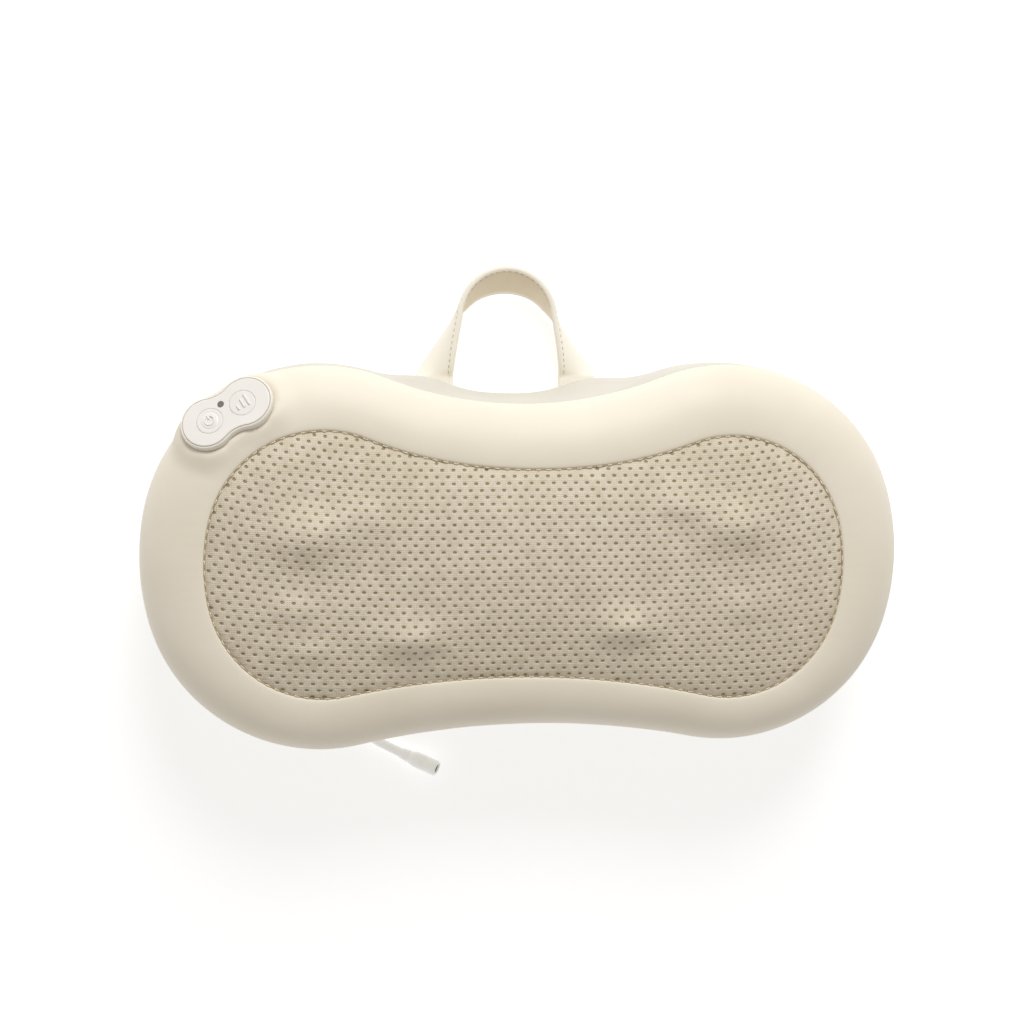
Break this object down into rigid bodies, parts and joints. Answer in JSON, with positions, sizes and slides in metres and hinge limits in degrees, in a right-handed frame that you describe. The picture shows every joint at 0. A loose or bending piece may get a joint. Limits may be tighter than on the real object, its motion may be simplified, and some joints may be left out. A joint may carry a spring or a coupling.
{
  "type": "shiatsu neck massager",
  "caption": "Peanut-shaped shiatsu neck massager cushion with a perforated mesh massage face, padded border, control pad, carry loop, zip and DC pigtail.",
  "frame": {"origin": "middle of the flat back face, on the surface that the massager lies on", "axes": "+X along the cushion, +Y towards the carry handle, +Z out of the massage face"},
  "size_m": [0.3812, 0.2699, 0.0968],
  "materials": {
    "cover_leatherette": "satin",
    "gusset_fabric": "matte",
    "mesh_fabric": "matte",
    "lining_fabric": "matte",
    "back_fabric": "matte",
    "foam": "matte",
    "zip_tape": "matte",
    "zip_metal": "satin",
    "housing_plastic": "satin",
    "gear_plastic": "satin",
    "carrier_plastic": "satin",
    "head_plastic": "satin",
    "steel": "satin",
    "motor_steel": "satin",
    "motor_black": "matte",
    "copper": "satin",
    "bronze": "satin",
    "contact_metal": "polished",
    "circuit_board": "satin",
    "component_grey": "satin",
    "lamp_lens": "gloss",
    "pad_shell": "satin",
    "pad_face": "gloss",
    "button_plastic": "satin",
    "indicator": "gloss",
    "cable_white": "satin",
    "cable_red": "satin",
    "socket_plastic": "satin"
  },
  "bodies": {
    "cushion": {"back_panel": "back_fabric", "zip_tapes": "zip_tape", "side_gusset": "gusset_fabric", "front_border": "cover_leatherette", "front_mesh_panel": "mesh_fabric", "inner_lining": "lining_fabric", "foam_surround": "foam", "handle_tabs": "cover_leatherette", "rear_housing": "housing_plastic", "front_housing": "housing_plastic", "housing_screws": "steel", "motor_can": "motor_steel", "motor_end_cap": "motor_black", "motor_bracket": "steel", "worm_bush": "bronze", "thermal_cutout": "motor_black", "left_reduction_axle": "steel", "right_reduction_axle": "steel", "left_rotor_bush": "bronze", "right_rotor_bush": "bronze", "left_lamp_board": "circuit_board", "right_lamp_board": "circuit_board", "left_lamp_dome": "lamp_lens", "right_lamp_dome": "lamp_lens", "main_board": "circuit_board", "board_components": "component_grey", "pad_base": "pad_shell", "pad_cover": "pad_face", "pad_board": "circuit_board", "indicator_lens": "indicator", "pad_cable": "cable_white", "motor_leads": "cable_red", "supply_lead": "cable_white", "cord_grommet": "cable_white", "dc_cord": "cable_white", "dc_socket_shell": "socket_plastic", "dc_socket_contacts": "contact_metal"},
    "handle": {"carry_handle": "cover_leatherette"},
    "zip_pull": {"zip_slider": "zip_metal"},
    "drive": {"motor_armature": "copper", "drive_shaft": "steel", "worm": "gear_plastic"},
    "left_reduction": {"left_reduction_gear": "gear_plastic"},
    "left_rotor": {"left_output_gear": "gear_plastic", "left_massage_carrier": "carrier_plastic", "left_head_posts": "steel"},
    "left_big_head_1": {"left_big_head_1": "head_plastic"},
    "left_big_head_2": {"left_big_head_2": "head_plastic"},
    "left_small_head_1": {"left_small_head_1": "head_plastic"},
    "left_small_head_2": {"left_small_head_2": "head_plastic"},
    "right_reduction": {"right_reduction_gear": "gear_plastic"},
    "right_rotor": {"right_output_gear": "gear_plastic", "right_massage_carrier": "carrier_plastic", "right_head_posts": "steel"},
    "right_big_head_1": {"right_big_head_1": "head_plastic"},
    "right_big_head_2": {"right_big_head_2": "head_plastic"},
    "right_small_head_1": {"right_small_head_1": "head_plastic"},
    "right_small_head_2": {"right_small_head_2": "head_plastic"},
    "power_button": {"power_button": "button_plastic"},
    "level_button": {"level_button": "button_plastic"}
  },
  "joints": [
    {"name": "left_rotor_spin", "type": "hinge", "parent": "cushion", "child": "left_rotor", "pos_m": [-0.078, -0.004, 0.04], "axis": [0, 0, 1], "continuous": true},
    {"name": "right_rotor_spin", "type": "hinge", "parent": "cushion", "child": "right_rotor", "pos_m": [0.078, -0.004, 0.04], "axis": [0, 0, 1], "continuous": true},
    {"name": "left_reduction_spin", "type": "hinge", "parent": "cushion", "child": "left_reduction", "pos_m": [-0.024, -0.004, 0.032], "axis": [0, 0, 1], "continuous": true},
    {"name": "right_reduction_spin", "type": "hinge", "parent": "cushion", "child": "right_reduction", "pos_m": [0.024, -0.004, 0.032], "axis": [0, 0, 1], "continuous": true},
    {"name": "motor_spin", "type": "hinge", "parent": "cushion", "child": "drive", "pos_m": [0, 0.01, 0.028], "axis": [0, 1, 0], "continuous": true},
    {"name": "left_big_head_1_spin", "type": "hinge", "parent": "left_rotor", "child": "left_big_head_1", "pos_m": [-0.10346, 0.02146, 0.066], "axis": [0, 0, 1], "continuous": true},
    {"name": "left_big_head_2_spin", "type": "hinge", "parent": "left_rotor", "child": "left_big_head_2", "pos_m": [-0.05254, -0.02946, 0.066], "axis": [0, 0, 1], "continuous": true},
    {"name": "left_small_head_1_spin", "type": "hinge", "parent": "left_rotor", "child": "left_small_head_1", "pos_m": [-0.06, 0.02718, 0.066], "axis": [0, 0, 1], "continuous": true},
    {"name": "left_small_head_2_spin", "type": "hinge", "parent": "left_rotor", "child": "left_small_head_2", "pos_m": [-0.096, -0.03518, 0.066], "axis": [0, 0, 1], "continuous": true},
    {"name": "right_big_head_1_spin", "type": "hinge", "parent": "right_rotor", "child": "right_big_head_1", "pos_m": [0.10346, 0.02146, 0.066], "axis": [0, 0, 1], "continuous": true},
    {"name": "right_big_head_2_spin", "type": "hinge", "parent": "right_rotor", "child": "right_big_head_2", "pos_m": [0.05254, -0.02946, 0.066], "axis": [0, 0, 1], "continuous": true},
    {"name": "right_small_head_1_spin", "type": "hinge", "parent": "right_rotor", "child": "right_small_head_1", "pos_m": [0.06, 0.02718, 0.066], "axis": [0, 0, 1], "continuous": true},
    {"name": "right_small_head_2_spin", "type": "hinge", "parent": "right_rotor", "child": "right_small_head_2", "pos_m": [0.096, -0.03518, 0.066], "axis": [0, 0, 1], "continuous": true},
    {"name": "power_press", "type": "slide", "parent": "cushion", "child": "power_button", "axis": [0.2424, -0.4373, -0.866], "range_m": [0, 0.0008], "stiffness_N_per_m": 800, "springref_m": -0.0005},
    {"name": "level_press", "type": "slide", "parent": "cushion", "child": "level_button", "axis": [0.2424, -0.4373, -0.866], "range_m": [0, 0.0008], "stiffness_N_per_m": 800, "springref_m": -0.0005},
    {"name": "handle_swing", "type": "hinge", "parent": "cushion", "child": "handle", "pos_m": [-0.0045, 0.089, 0.01], "axis": [1, 0, 0], "range_deg": [0, 90]},
    {"name": "zip_slide", "type": "slide", "parent": "cushion", "child": "zip_pull", "axis": [1, 0, 0], "range_m": [0, 0.168]}
  ],
  "couplings": [
    {"joint": "right_rotor_spin", "follows": "left_rotor_spin", "ratio": -1},
    {"joint": "left_reduction_spin", "follows": "left_rotor_spin", "ratio": -5},
    {"joint": "right_reduction_spin", "follows": "left_rotor_spin", "ratio": 5},
    {"joint": "motor_spin", "follows": "left_rotor_spin", "ratio": 150}
  ]
}
